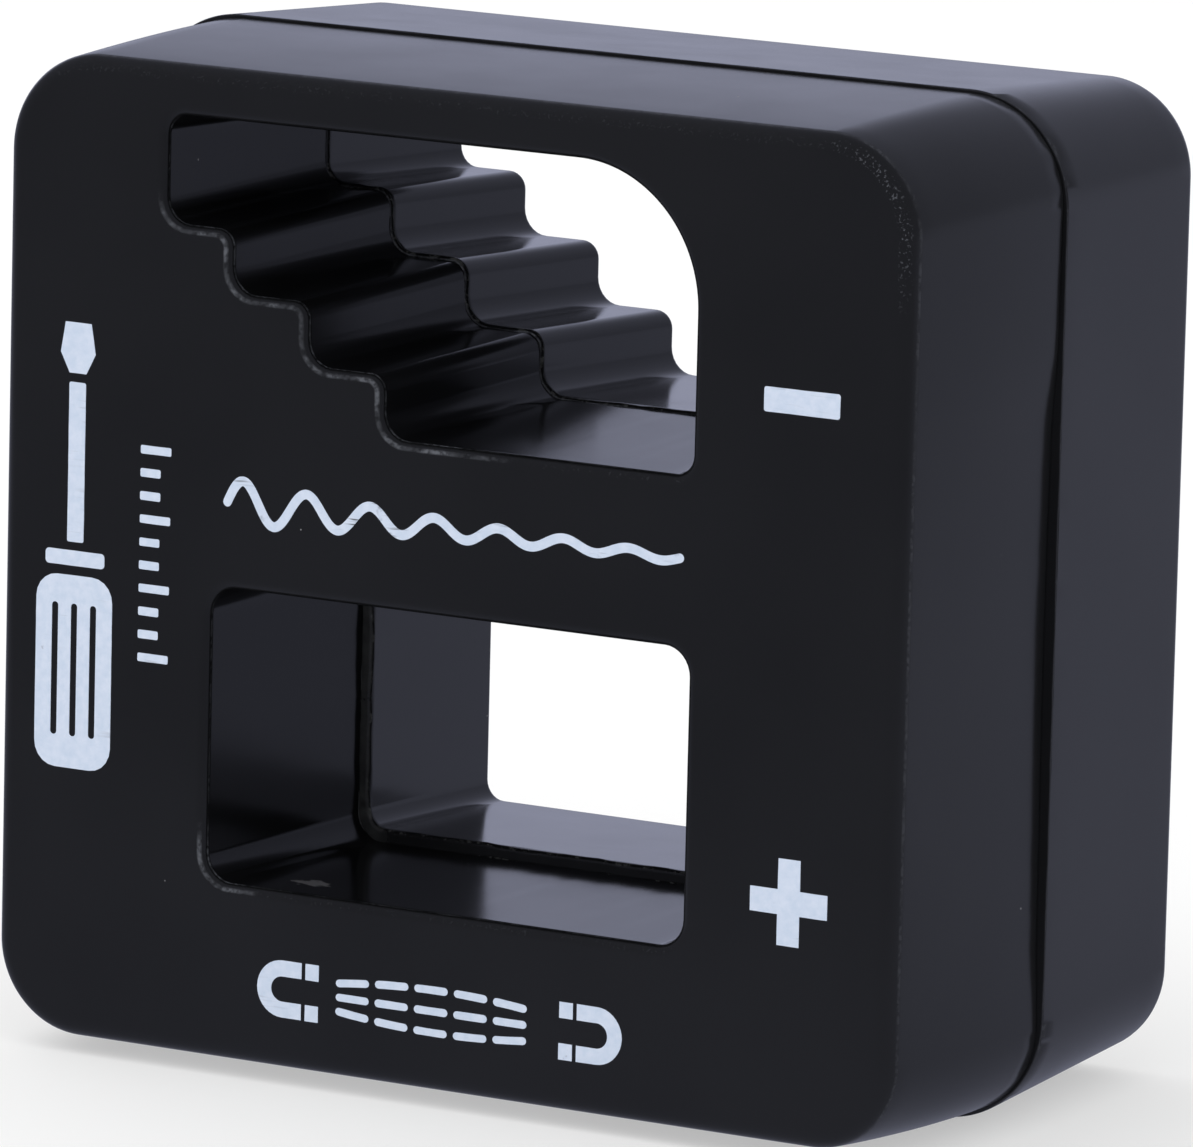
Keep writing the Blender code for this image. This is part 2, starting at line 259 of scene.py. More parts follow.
def front_rim():
    low, high = FRONT_LOW, FRONT_HIGH
    return [
        corner(low[0], low[2], FRONT_LOW_CORNER),
        corner(FRONT_RIGHT_LOW, low[2], FRONT_LOW_CORNER),
        corner(high[0], high[2], FRONT_RIGHT_CORNER),
        corner(low[0], high[2], FRONT_LEFT_CORNER),
    ]


def front_face():
    return [
        corner(FACE_LEFT, FACE_BOTTOM, FACE_LOW_CORNER),
        corner(FACE_RIGHT, FACE_BOTTOM, FACE_LOW_CORNER),
        corner(FACE_RIGHT, FACE_TOP, FACE_HIGH_CORNER),
        corner(FACE_LEFT, FACE_TOP, FACE_HIGH_CORNER),
    ]


def rear_rim():
    return rectangle(REAR_LOW[0], REAR_HIGH[0], REAR_LOW[2], REAR_HIGH[2], RIM_CORNER)


def rear_face():
    taper = (BACK_Y - PARTING_Y) * math.tan(REAR_DRAFT)
    return shrunk(rear_rim(), taper, taper, taper)


def lower_window(radius):
    return rectangle(LOWER_LEFT, LOWER_RIGHT, LOWER_FLOOR, LOWER_TOP, radius)


def upper_window(wall_foot):
    """Floor, right wall, arc, top, left wall with a foot of radius wall_foot, then the stair."""
    corners = [
        corner(UPPER_RIGHT, UPPER_FLOOR, UPPER_CORNER),
        corner(UPPER_RIGHT, UPPER_TOP, UPPER_ARC),
        corner(UPPER_LEFT, UPPER_TOP, UPPER_CORNER),
    ]
    tread_z = UPPER_FLOOR + STAIR_COUNT * STAIR_RISE
    tread_left = UPPER_LEFT
    hollow = wall_foot
    for stair in range(STAIR_COUNT):
        riser_x = STAIR_START + stair * STAIR_RUN
        corners.append(corner(tread_left, tread_z, hollow))
        corners.append(corner(riser_x, tread_z, STAIR_NOSE))
        hollow = STAIR_HOLLOW
        tread_left = riser_x
        tread_z -= STAIR_RISE
    corners.append(corner(tread_left, UPPER_FLOOR, STAIR_HOLLOW))
    return corners


def wobbled(points, y, amount, seed, outwards=True):
    """Points moved in and out by an irregular amount, as a moulded edge is, or only in."""
    moved = []
    for index, (x, z) in enumerate(points):
        before = points[index - 1]
        after = points[(index + 1) % len(points)]
        along = unit(after[0] - before[0], after[1] - before[1])
        spot = Vector((x, y, z)) / MM
        slow = noise.noise(spot * 0.3 + Vector((seed, 0, 0)))
        quick = noise.noise(spot * 1.1 + Vector((0, seed, 0)))
        shift = amount * (0.5 * slow + 0.5 * quick)
        if not outwards:
            shift -= amount / 2
        moved.append((x + along[1] * shift, z - along[0] * shift))
    return moved


def eased(value, low, high):
    """0 up to low, 1 from high on, and an even S between them; high may be the smaller one."""
    share = max(0.0, min(1.0, (value - low) / (high - low)))
    return share * share * (3 - 2 * share)


def sunk(points, share):
    """Points whose right side sinks in below SINK_TOP and swells at the foot, as mouldings do."""
    moved = []
    for x, z in points:
        on_right = eased(x, SINK_START_X, SINK_FULL_X)
        along = (
            eased(z, SINK_TOP, SINK_TOP - SINK_RISE)
            * eased(z, SINK_BOTTOM, SINK_BOTTOM + SINK_FADE)
        )
        inwards = SINK_DEPTH * along - SWELL_DEPTH * eased(z, SWELL_TOP, SWELL_FULL)
        moved.append((x - share * on_right * inwards, z))
    return moved


# ================================================================ solids

def new_object(name, builder):
    mesh = bpy.data.meshes.new(name)
    builder.to_mesh(mesh)
    builder.free()
    made = bpy.data.objects.new(name, mesh)
    bpy.context.scene.collection.objects.link(made)
    return made


def loft(name, sections):
    """A closed solid through sections of (y, points), which all have the same number of points."""
    builder = bmesh.new()
    rings = [[builder.verts.new((x, y, z)) for x, z in points] for y, points in sections]
    for ring, following in zip(rings, rings[1:]):
        for index in range(len(ring)):
            after = (index + 1) % len(ring)
            builder.faces.new((ring[index], ring[after], following[after], following[index]))
    builder.faces.new(rings[0])
    builder.faces.new(rings[-1])
    bmesh.ops.recalc_face_normals(builder, faces=builder.faces)
    return new_object(name, builder)


def block(name, x_range, y_range, z_range):
    ranges = (x_range, y_range, z_range)
    size = [high - low for low, high in ranges]
    centre = [(low + high) / 2 for low, high in ranges]
    builder = bmesh.new()
    bmesh.ops.create_cube(builder, size=1.0)
    bmesh.ops.scale(builder, vec=size, verts=builder.verts)
    bmesh.ops.translate(builder, vec=centre, verts=builder.verts)
    return new_object(name, builder)


def post(name, place, y_start, y_end, radius):
    circle = [
        (place[0] + radius * math.cos(2 * math.pi * side / POST_SIDES),
         place[1] + radius * math.sin(2 * math.pi * side / POST_SIDES))
        for side in range(POST_SIDES)
    ]
    return loft(name, [(y_start, circle), (y_end, circle)])


def combine(target, operation, other):
    """Applies an exact Boolean to target's mesh and deletes other."""
    modifier = target.modifiers.new("combine", "BOOLEAN")
    modifier.operation = operation
    modifier.solver = "EXACT"
    modifier.object = other
    bpy.context.view_layer.update()
    evaluated = target.evaluated_get(bpy.context.evaluated_depsgraph_get())
    result = bpy.data.meshes.new_from_object(evaluated)
    target.modifiers.clear()
    target.data = result
    bpy.data.objects.remove(other)


def smooth(item):
    item.data.shade_smooth()
    item.data.set_sharp_from_angle(angle=SMOOTH_ANGLE)
    weighted = item.modifiers.new("face_weighted_normals", "WEIGHTED_NORMAL")
    weighted.keep_sharp = True
    weighted.weight = 100


# ================================================================ the two shells

class Shell:
    """The measures that differ between the two shells, with heights from the shell's own face.

    A crown of 1 gives flat drafted walls. A larger one curves them, with more draft near the face
    than at the rim.
    """

    def __init__(self, name, face_y, inward, face, rim, crown, edge, lip, sinks, seed):
        self.name = name
        self.face_y = face_y
        self.inward = inward
        self.face = face
        self.rim = rim
        self.crown = crown
        self.edge = edge
        self.lip = lip
        self.sinks = sinks
        self.seed = seed
        self.depth = abs(PARTING_Y - face_y)
        self.rim_height = self.depth - SEAM / 2

    def at(self, height):
        return self.face_y + self.inward * height

    def outline(self, height, inset):
        """Points of the outside's outline at a height above the face, moved in by inset."""
        share = height / self.depth
        curved = 1 - max(0.0, 1 - share) ** self.crown
        corners = shrunk(blend(self.face, self.rim, curved), inset, inset, inset)
        points = rounded(corners, straight_steps(self.rim))
        return sunk(points, share) if self.sinks else points


class Window:
    """One opening through a shell, with its walls' insets at the face and at the parting."""

    def __init__(self, name, corners, at_face, at_parting):
        self.name = name
        self.corners = corners
        self.at_face = at_face
        self.at_parting = at_parting

    def inset(self, share):
        return [start + (end - start) * share for start, end in zip(self.at_face, self.at_parting)]


def face_edge_profile(radius, steps):
    """(height, setback) from the face inwards round a quarter of a circle."""
    turns = [math.pi / 2 * step / steps for step in range(steps + 1)]
    return [(radius * (1 - math.cos(turn)), radius * (1 - math.sin(turn))) for turn in turns]


def outside(shell):
    """The outer form: rounded face edge, drafted walls, and a slightly uneven edge at the seam."""
    def ring(height, setback, wobble):
        points = shell.outline(height, setback)
        if wobble:
            points = wobbled(points, shell.at(height), wobble, shell.seed, outwards=False)
        return shell.at(height), points

    face_edge = face_edge_profile(shell.edge, EDGE_STEPS)
    sections = [ring(height, setback, 0) for height, setback in face_edge]
    wall_end = shell.rim_height - 2 * SEAM_EDGE
    for step in range(1, WALL_STEPS + 1):
        sections.append(ring(shell.edge + (wall_end - shell.edge) * step / WALL_STEPS, 0, 0))
    for height, setback in reversed(face_edge_profile(SEAM_EDGE, SEAM_STEPS)):
        sections.append(ring(shell.rim_height - height, setback, OUTER_WOBBLE))
    return loft(shell.name, sections)


def window_cutter(shell, window):
    """The opening through one shell: rounded mouth, drafted walls and an uneven seam edge."""
    line_steps = straight_steps(window.corners)

    def ring(height, flare, wobble):
        across, upwards = window.inset(max(height, 0.0) / shell.depth)
        drafted = shrunk(window.corners, across, upwards)
        points = rounded(shrunk(drafted, -flare, -flare, -flare), line_steps)
        if wobble:
            points = wobbled(points, shell.at(height), wobble, shell.seed + len(window.name))
        return shell.at(height), points

    mouth_edge = face_edge_profile(WINDOW_EDGE, EDGE_STEPS)
    sections = [ring(-CUT_MARGIN, WINDOW_EDGE, 0)]
    sections += [ring(height, flare, 0) for height, flare in mouth_edge]
    sections.append(ring(shell.rim_height - LIP_REACHES * shell.lip, 0, 0))
    for height, flare in reversed(face_edge_profile(shell.lip, SEAM_STEPS)):
        sections.append(ring(shell.rim_height - height, flare, INNER_WOBBLE))
    sections.append(ring(shell.rim_height + CUT_MARGIN, shell.lip, INNER_WOBBLE))
    return loft(f"{shell.name}_{window.name}_cutter", sections)


def window_tube(shell, window):
    """The solid that a window's walls are left from when the cavity is cut."""
    line_steps = straight_steps(window.corners)
    sections = []
    for height in (0.0, shell.depth + 2 * CUT_MARGIN):
        across, upwards = window.inset(height / shell.depth)
        grown = shrunk(window.corners, across - WINDOW_WALL, upwards - WINDOW_WALL, -STAIR_NOSE / 2)
        sections.append((shell.at(height), rounded(grown, line_steps)))
    return loft(f"{shell.name}_{window.name}_tube", sections)


def cavity(shell):
    """The space inside the shell, open at the seam."""
    heights = (FACE_THICKNESS, shell.depth + CUT_MARGIN)
    sections = [(shell.at(height), shell.outline(height, OUTER_WALL)) for height in heights]
    return loft(f"{shell.name}_cavity", sections)


def rib_places():
    """Where ribs hold the magnets, in X and Z, from the magnets' own boxes."""
    left_low, left_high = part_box("magnet_left_lower")
    right_low, right_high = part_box("magnet_right_lower")
    over_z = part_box("magnet_right_upper")[1][2] + RIB_CLEARANCE
    under = (left_low[2] - RIB_CLEARANCE - RIB_THICKNESS, left_low[2] - RIB_CLEARANCE)
    between = (left_high[2] + RIB_CLEARANCE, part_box("magnet_left_upper")[0][2] - RIB_CLEARANCE)
    wall_side = REAR_HIGH[0] - OUTER_WALL / 2
    return (
        ((-wall_side, left_high[0]), under),
        ((right_low[0], wall_side), under),
        ((left_low[0], left_high[0] + WINDOW_WALL), between),
        ((right_low[0] - WINDOW_WALL, right_high[0]), between),
        ((UPPER_RIGHT - UPPER_ARC / 2, wall_side), (over_z, over_z + RIB_THICKNESS)),
    )


def build_shell(shell, windows):
    body = outside(shell)
    hollow = cavity(shell)
    for window in windows:
        combine(hollow, "DIFFERENCE", window_tube(shell, window))
    for x_range, z_range in rib_places():
        heights = (FACE_THICKNESS / 2, shell.depth - CAD_GAP)
        depth = sorted(shell.at(height) for height in heights)
        combine(hollow, "DIFFERENCE", block("rib", x_range, depth, z_range))
    combine(body, "DIFFERENCE", hollow)
    for window in windows:
        combine(body, "DIFFERENCE", window_cutter(shell, window))
    return body


def front_shell():
    shell = Shell(
        "front_shell_moulding", FACE_Y, 1, front_face(), front_rim(),
        crown=FRONT_CROWN, edge=FRONT_EDGE, lip=FRONT_LIP, sinks=True, seed=3.7,
    )
    at_face = (0.0, 0.0)
    body = build_shell(shell, (
        Window("lower", lower_window(LOWER_CORNER), at_face, LOWER_CLOSING),
        Window("upper", upper_window(STAIR_HOLLOW), at_face, UPPER_CLOSING),
    ))
    for place in PIN_PLACES:
        pin = post("pin", place, shell.at(FACE_THICKNESS / 2), PARTING_Y + PIN_REACH, PIN_RADIUS)
        combine(body, "UNION", pin)
    return body


def rear_window(name, corners, front_closing, rear_step, rear_draw):
    at_parting = [closing + step for closing, step in zip(front_closing, rear_step)]
    at_face = [inset - draw for inset, draw in zip(at_parting, rear_draw)]
    return Window(name, corners, at_face, at_parting)


def rear_shell():
    shell = Shell(
        "rear_shell_moulding", BACK_Y, -1, rear_face(), rear_rim(),
        crown=REAR_CROWN, edge=REAR_EDGE, lip=REAR_LIP, sinks=False, seed=8.2,
    )
    body = build_shell(shell, (
        rear_window(
            "lower", lower_window(LOWER_REAR_CORNER), LOWER_CLOSING, LOWER_STEP, LOWER_DRAW,
        ),
        rear_window(
            "upper", upper_window(UPPER_CORNER), UPPER_CLOSING, UPPER_STEP, UPPER_DRAW,
        ),
    ))
    bore_radius = PIN_RADIUS + PIN_CLEARANCE
    for place in PIN_PLACES:
        socket_ends = (shell.at(FACE_THICKNESS / 2), shell.at(shell.depth - CAD_GAP))
        combine(body, "UNION", post("socket", place, *socket_ends, bore_radius + SOCKET_WALL))
        bore_ends = (shell.at(shell.depth - SOCKET_DEPTH), shell.at(shell.depth + CUT_MARGIN))
        combine(body, "DIFFERENCE", post("bore", place, *bore_ends, bore_radius))
    return body


# ================================================================ printed marks

INK_STEP = 0.15 * MM
INK_ROUGHNESS = 0.02 * MM
STROKE = 0.48 * MM
DASH_STROKE = 0.8 * STROKE
CAP_STEPS = 6
BOX_CORNER_STEPS = 5
WAVE_STEPS = 400
BOW_STEPS = 18
DASH_STEPS = 8
SIGN_X = 19.3 * MM
MINUS_Z = 36.65 * MM
PLUS_Z = 12.65 * MM
SCREWDRIVER_PLACE = (-21.1 * MM, 14.3 * MM)
SCREWDRIVER_BOXES = (  # middle above the foot, width, height and corner radius
    (4.8 * MM, 4.4 * MM, 9.6 * MM, 1.2 * MM),
    (10.45 * MM, 3.4 * MM, 0.75 * MM, 0.2 * MM),
    (15.2 * MM, 0.95 * MM, 7.9 * MM, 0.1 * MM),
)


def densified(points):
    """The closed outline with points at most INK_STEP apart."""
    dense = []
    for index, (x, z) in enumerate(points):
        after = points[(index + 1) % len(points)]
        length = math.hypot(after[0] - x, after[1] - z)
        steps = max(1, math.ceil(length / INK_STEP))
        dense += [
            (x + (after[0] - x) * step / steps, z + (after[1] - z) * step / steps)
            for step in range(steps)
        ]
    return dense


def box_outline(centre_x, centre_z, width, height, radius):
    """A rectangle with rounded corners, counter-clockwise."""
    points = []
    for quarter, (side_x, side_z) in enumerate(((1, 1), (-1, 1), (-1, -1), (1, -1))):
        for step in range(BOX_CORNER_STEPS + 1):
            turn = math.pi / 2 * (quarter + step / BOX_CORNER_STEPS)
            points.append((
                centre_x + side_x * (width / 2 - radius) + radius * math.cos(turn),
                centre_z + side_z * (height / 2 - radius) + radius * math.sin(turn),
            ))
    return points


def stroke_outline(path, width):
    """The outline of a pen stroke along a path, with round ends."""
    left, right = [], []
    for index, (x, z) in enumerate(path):
        before = path[max(index - 1, 0)]
        after = path[min(index + 1, len(path) - 1)]
        along = unit(after[0] - before[0], after[1] - before[1])
        left.append((x - along[1] * width / 2, z + along[0] * width / 2))
        right.append((x + along[1] * width / 2, z - along[0] * width / 2))

    def cap(centre, first, turns):
        start = math.atan2(first[1] - centre[1], first[0] - centre[0])
        return [
            (centre[0] + width / 2 * math.cos(start + turns * step / CAP_STEPS),
             centre[1] + width / 2 * math.sin(start + turns * step / CAP_STEPS))
            for step in range(1, CAP_STEPS)
        ]

    return right + cap(path[-1], right[-1], math.pi) + left[::-1] + cap(path[0], left[0], math.pi)


def ink(name, outlines, worn):
    """One printed mark: thin flat solids on the front face with slightly rough edges."""
    builder = bmesh.new()
    for number, outline in enumerate(outlines):
        points = wobbled(densified(outline), FACE_Y, INK_ROUGHNESS, number * 5.3)
        front = [builder.verts.new((x, FRONT_LOW[1], z)) for x, z in points]
        back = [builder.verts.new((x, FACE_Y + INK_THICKNESS / 2, z)) for x, z in points]
        builder.faces.new(front)
        builder.faces.new(back)
        for index in range(len(points)):
            after = (index + 1) % len(points)
            builder.faces.new((front[index], front[after], back[after], back[index]))
    bmesh.ops.recalc_face_normals(builder, faces=builder.faces)
    made = new_object(name, builder)
    made.data.materials.append(ink_material(name + "_white", worn))
    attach(made, BODY)
    return made


def minus_mark():
    length, width, radius = 4.1 * MM, 1.2 * MM, 0.12 * MM
    return [box_outline(SIGN_X, MINUS_Z, length, width, radius)]


def plus_mark():
    """A cross outline with square arms."""
    reach, half = 2.1 * MM, 0.6 * MM
    corners = (
        (reach, -half), (reach, half), (half, half),
        (half, reach), (-half, reach), (-half, half),
        (-reach, half), (-reach, -half), (-half, -half),
        (-half, -reach), (half, -reach), (half, -half),
    )
    return [[(SIGN_X + x, PLUS_Z + z) for x, z in corners]]


def fading_wave():
    """A swing that dies away from left to right: the sign for demagnetizing."""
    left, right, level = -12.4 * MM, 12.9 * MM, 28.5 * MM
    height, fade, period = 1.18 * MM, 13.0 * MM, 3.6 * MM
    path = []
    for index in range(WAVE_STEPS + 1):
        x = left + (right - left) * index / WAVE_STEPS
        swing = height * math.exp(-(x - left) / fade) * math.sin(2 * math.pi * (x - left) / period)
        path.append((x, level + swing))
    return [stroke_outline(path, STROKE)]


def horseshoe(centre_x, level, side):
    """A horseshoe magnet on its side, open towards side, its two pole tips set off by a gap."""
    outer, inner, leg, gap, tip = 1.42 * MM, 0.62 * MM, 1.1 * MM, 0.22 * MM, 0.75 * MM
    turns = [math.pi / 2 + math.pi * step / BOW_STEPS for step in range(BOW_STEPS + 1)]
    bow = [(math.cos(turn), math.sin(turn)) for turn in turns]
    outer_bow = [(outer * x, outer * z) for x, z in bow]
    inner_bow = [(inner * x, inner * z) for x, z in reversed(bow)]
    body = [(leg, outer), *outer_bow, (leg, -outer), (leg, -inner), *inner_bow, (leg, inner)]
    tips = [
        [(leg + gap, low), (leg + gap + tip, low), (leg + gap + tip, high), (leg + gap, high)]
        for low, high in ((inner, outer), (-outer, -inner))
    ]
    return [[(centre_x + side * x, level + z) for x, z in part] for part in [body] + tips]


def field_between_magnets():
    """Two horseshoe magnets with dashed field lines between them: the sign for magnetizing."""
    level, middle, reach = 4.85 * MM, 0.1 * MM, 8.85 * MM
    outlines = horseshoe(middle - reach, level, 1) + horseshoe(middle + reach, level, -1)
    span, dash, pause, pitch, bulge = 5.6 * MM, 1.5 * MM, 0.72 * MM, 0.7 * MM, 0.35 * MM
    for row in (-1, 0, 1):
        start = -span
        while start + dash <= span + pause / 2:
            path = []
            for step in range(DASH_STEPS + 1):
                x = start + dash * step / DASH_STEPS
                bow = bulge * (1 - (x / span) ** 2)
                path.append((middle + x, level + row * (pitch + bow)))
            outlines.append(stroke_outline(path, DASH_STROKE))
            start += dash + pause
    return outlines


def screwdriver_sign():
    """An upright screwdriver: barrel handle, collar, shaft and flat tip, from the bottom up."""
    centre, bottom = SCREWDRIVER_PLACE
    outlines = [
        box_outline(centre, bottom + middle, width, height, radius)
        for middle, width, height, radius in SCREWDRIVER_BOXES
    ]
    tip_base, tip_top = bottom + 19.6 * MM, bottom + 22.1 * MM
    neck, shoulder, blade, flare = 0.48 * MM, 1.0 * MM, 0.75 * MM, 1.0 * MM
    outlines.append([
        (centre - neck, tip_base), (centre + neck, tip_base),
        (centre + shoulder, tip_base + flare), (centre + blade, tip_top),
        (centre - blade, tip_top), (centre - shoulder, tip_base + flare),
    ])
    return outlines


def cut_flutes(sign):
    """Three unprinted slots along the screwdriver's handle."""
    centre, bottom = SCREWDRIVER_PLACE
    pitch, middle, width, height, radius = 1.1 * MM, 4.9 * MM, 0.36 * MM, 6.6 * MM, 0.17 * MM
    depth = (FRONT_LOW[1] - INK_THICKNESS, FACE_Y + INK_THICKNESS)
    for side in (-1, 0, 1):
        slot = box_outline(centre + side * pitch, bottom + middle, width, height, radius)
        combine(sign, "DIFFERENCE", loft("flute", [(y, slot) for y in depth]))


def tick_row():
    """An upright row of ticks, long and short by turns, as on a plain scale."""
    left, bottom, pitch, count = -17.4 * MM, 20.3 * MM, 1.14 * MM, 10
    long_tick, short_tick, width, radius = 1.75 * MM, 1.15 * MM, 0.42 * MM, 0.08 * MM
    outlines = []
    for number in range(count):
        length = long_tick if number % 3 == 0 else short_tick
        middle = left + length / 2
        outlines.append(box_outline(middle, bottom + number * pitch, length, width, radius))
    return outlines


# ================================================================ materials

FRONT_BASE = (0.0070, 0.0072, 0.0082)
REAR_BASE = (0.0074, 0.0076, 0.0088)
BLACK = (0.0, 0.0, 0.0)
MOTTLE_SIZE = 14.0 * MM
MOTTLE_GAIN = 1.25
SKIN_SIZE = 0.11 * MM
SKIN_DEPTH = 0.004 * MM
SMEAR_SIZE = 5.0 * MM
SMEAR_DEPTH = 0.02 * MM
HAIRLINE_SIZE = 0.09 * MM
HAIRLINE_DEPTH = 0.003 * MM
PLASTIC_IOR = 1.47
OUTSIDE_ROUGHNESS = 0.21
SMEAR_SHINIER = 0.01
SMEAR_DULLER = 0.02
WINDOW_ROUGHNESS = 0.15
OUTSIDE_SPECULAR = 0.5
WINDOW_FLOOR_SPECULAR = 0.3
FRONT_WALL_SPECULAR = 0.42
REAR_WALL_SPECULAR = 0.34
# Painted shade: the base colour is darkened inside the windows, where less light reaches.
WINDOW_PAINTED_SHADE = 0.6
WINDOW_MARGIN = 1.2 * MM
WINDOW_TOP_MARGIN = 1.0 * MM

# Edge lines: painted highlights on rounded edges, partly wear. The specks are wear.
WORN_AND_HIGHLIGHT_COLOUR = (0.13, 0.138, 0.16)
WORN_AND_HIGHLIGHT_ROUGHNESS = 0.15
FACE_LINE = (0.76, 0.89, 0.955, 0.992)
WALL_LINE = (0.16, 0.24, 0.34, 0.44)
WALL_LINE_SHARE = 0.6
WALL_LINE_LEAST = 0.2
STAIR_LINE_STRENGTH = 0.9
STAIR_LINE_MARGIN = 1.0 * MM
STAIR_LINE_FADE_X = (0.0, 3.5 * MM)
STAIR_LINE_FADE_Z = (-0.8 * MM, 1.8 * MM)
BEAD_SIZE = 0.26 * MM
PATCH_SIZE = 1.3 * MM
WEAR_SPECK_SIZE = 0.13 * MM
WEAR_SPECK_BAND = (0.6, 0.9, 0.985, 0.999)
WEAR_SPECK_STRENGTH = 0.7

LEDGE_COLOUR = (0.040, 0.042, 0.044)
LEDGE_ROUGHNESS = 0.35
LEDGE_REACH = 0.22 * MM
LEDGE_FADE_X = (1.4 * MM, 2.6 * MM)
LEDGE_RAG_SIZE = 0.8 * MM
# Painted highlights on the rounded lips by the seam.
LIP_HIGHLIGHT_COLOUR = (0.16, 0.165, 0.17)
FLECK_STRENGTH = 0.6
FLECK_ROUGHNESS = 0.2
FLECK_SIZE = 0.45 * MM
FLECK_BAND = (0.12, 0.3, 0.75, 0.95)
LIP_REACH = 0.32 * MM

DUST_COLOUR = (0.42, 0.42, 0.44)
DUST_STRENGTH = 0.55
DUST_ROUGHNESS = 0.4
DUST_PITCH = 2.4 * MM
DUST_RADIUS = 0.07 * MM
DUST_AREA_SIZE = 3.1 * MM
SPECK_CORE = 0.7

FLOOR_PATCH_PLACE = (-8.8 * MM, -11.45 * MM, 9.65 * MM)
FLOOR_PATCH_REACH = (1.5 * MM, 0.9 * MM, 0.5 * MM)
FLOOR_PATCH_COLOUR = (0.13, 0.13, 0.14)
FLOOR_PATCH_STRENGTH = 0.7
FLOOR_PATCH_ROUGHNESS = 0.3
FLOOR_PATCH_RAG_SIZE = 0.3 * MM
FLOOR_PATCH_RAG_DEPTH = 2.6
LOW_CORNER_PLACE = (-13.4 * MM, FACE_Y, 9.6 * MM)
LOW_CORNER_REACH = (3.2 * MM, 2.0 * MM, 3.0 * MM)
HIGH_CORNER_PLACE = (23.8 * MM, FACE_Y, 47.0 * MM)
HIGH_CORNER_REACH = (4.5 * MM, 2.0 * MM, 6.0 * MM)

INK_WHITES = ((0.56, 0.65, 0.80), (0.65, 0.72, 0.86))
INK_GAP_COLOUR = (0.06, 0.065, 0.075)
FERRITE_COLOURS = ((0.028, 0.028, 0.031), (0.075, 0.074, 0.078))
STEEL_COLOURS = ((0.46, 0.46, 0.47), (0.28, 0.26, 0.24))


class Nodes:
    """Small helper for node trees."""

    def __init__(self, material_name):
        self.material = bpy.data.materials.new(material_name)
        self.material.use_nodes = True
        self.tree = self.material.node_tree
        self.shader = self.tree.nodes["Principled BSDF"]
        self.place = self.add("ShaderNodeTexCoord").outputs["Object"]

    def add(self, kind, **settings):
        node = self.tree.nodes.new(kind)
        for key, value in settings.items():
            setattr(node, key, value)
        return node

    def link(self, output, target):
        self.tree.links.new(output, target)

    def feed(self, value, target):
        """Puts a number, a colour or another node's output into an input."""
        if isinstance(value, (int, float)):
            target.default_value = value
        elif isinstance(value, tuple):
            target.default_value = (*value, 1.0)
        else:
            self.link(value, target)

    def parts(self, vector):
        """The X, Y and Z of a vector output."""
        node = self.add("ShaderNodeSeparateXYZ")
        self.link(vector, node.inputs["Vector"])
        return node.outputs["X"], node.outputs["Y"], node.outputs["Z"]

    def noise(self, size, detail=3.0, stretch=(1, 1, 1), roughness=0.5):
        """Noise whose features are about size across; stretch lengthens them along an axis."""
        mapping = self.add("ShaderNodeMapping")
        mapping.inputs["Scale"].default_value = [1 / (size * part) for part in stretch]
        self.link(self.place, mapping.inputs["Vector"])
        texture = self.add("ShaderNodeTexNoise")
        texture.inputs["Scale"].default_value = 1.0
        texture.inputs["Detail"].default_value = detail
        texture.inputs["Roughness"].default_value = roughness
        self.link(mapping.outputs["Vector"], texture.inputs["Vector"])
        return texture.outputs["Fac"]

    def remap(self, value, from_low, from_high, to_low=0.0, to_high=1.0):
        node = self.add("ShaderNodeMapRange", clamp=True)
        for name, setting in (
            ("From Min", from_low), ("From Max", from_high),
            ("To Min", to_low), ("To Max", to_high),
        ):
            self.feed(setting, node.inputs[name])
        self.link(value, node.inputs["Value"])
        return node.outputs["Result"]

    def band(self, value, rise_start, rise_end, fall_start, fall_end):
        """1 from rise_end to fall_start, falling to 0 at rise_start and fall_end."""
        rise = self.remap(value, rise_start, rise_end)
        return self.product(rise, self.remap(value, fall_start, fall_end, 1.0, 0.0))

    def math(self, operation, first, second=0.0):
        node = self.add("ShaderNodeMath", operation=operation)
        self.feed(first, node.inputs[0])
        self.feed(second, node.inputs[1])
        return node.outputs["Value"]

    def product(self, *values):
        result = values[0]
        for value in values[1:]:
            result = self.math("MULTIPLY", result, value)
        return result

    def mix(self, factor, first, second):
        """A colour mix; first and second are colours or outputs."""
        node = self.add("ShaderNodeMix", data_type="RGBA")
        self.feed(factor, node.inputs["Factor"])
        for name, value in (("A", first), ("B", second)):
            self.feed(value, next(s for s in node.inputs if s.name == name and s.type == "RGBA"))
        return next(s for s in node.outputs if s.type == "RGBA")

    def specks(self, pitch, radius):
        """1 inside small round specks scattered about pitch apart, else 0."""
        texture = self.add("ShaderNodeTexVoronoi", feature="F1")
        texture.inputs["Scale"].default_value = 1 / pitch
        self.link(self.place, texture.inputs["Vector"])
        reach = radius / pitch
        return self.remap(texture.outputs["Distance"], reach * SPECK_CORE, reach, 1.0, 0.0)

    def facing(self):
        """The X, Y and Z of the surface normal."""
        return self.parts(self.add("ShaderNodeNewGeometry").outputs["Normal"])

    def spot(self, centre, reach):
        """1 at a place on the piece, falling to 0 at reach along each axis."""
        squares = []
        for part, middle, size in zip(self.parts(self.place), centre, reach):
            offset = self.product(self.math("SUBTRACT", part, middle), 1 / size)
            squares.append(self.math("POWER", offset, 2.0))
        total = self.math("ADD", self.math("ADD", squares[0], squares[1]), squares[2])
        return self.remap(total, 0.0, 1.0, 1.0, 0.0)

    def bump(self, heights):
        """Chains bumps of (height output, depth in metres, strength) into the shader's normal."""
        previous = None
        for height, depth, strength in heights:
            node = self.add("ShaderNodeBump")
            node.inputs["Strength"].default_value = strength
            node.inputs["Distance"].default_value = depth
            self.link(height, node.inputs["Height"])
            if previous is not None:
                self.link(previous, node.inputs["Normal"])
            previous = node.outputs["Normal"]
        self.link(previous, self.shader.inputs["Normal"])


